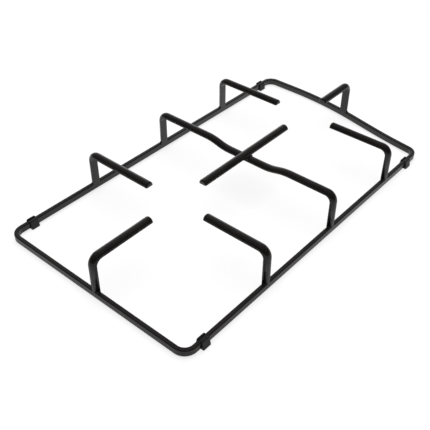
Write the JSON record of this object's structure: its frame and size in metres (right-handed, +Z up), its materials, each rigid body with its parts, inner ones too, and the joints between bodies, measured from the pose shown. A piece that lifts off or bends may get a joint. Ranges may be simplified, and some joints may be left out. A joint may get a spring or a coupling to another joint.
{
  "type": "hob pan support",
  "caption": "Pan support for a gas hob: half-round fingers rise from a flat-bar frame with one slanted end, point in at the burners and hold pans above them; rubber feet clasp the rails.",
  "frame": {"origin": "middle of the footprint, level with the undersides of the rubber feet", "axes": "+X across the support to the right, +Y along it from the square end to the slanted end, +Z up"},
  "size_m": [0.2598, 0.455, 0.0531],
  "materials": {
    "enamel": "satin black enamel on steel",
    "foot_rubber": "matt black"
  },
  "bodies": {
    "root": {"perimeter_frame": "enamel", "front_finger": "enamel", "left_front_finger": "enamel", "right_front_finger": "enamel", "left_rear_finger": "enamel", "right_rear_finger": "enamel", "rear_finger": "enamel", "cross_bar": "enamel", "centre_bar": "enamel", "front_left_foot": "foot_rubber", "front_right_foot": "foot_rubber", "rear_left_foot": "foot_rubber", "rear_right_foot": "foot_rubber"}
  },
  "joints": []
}
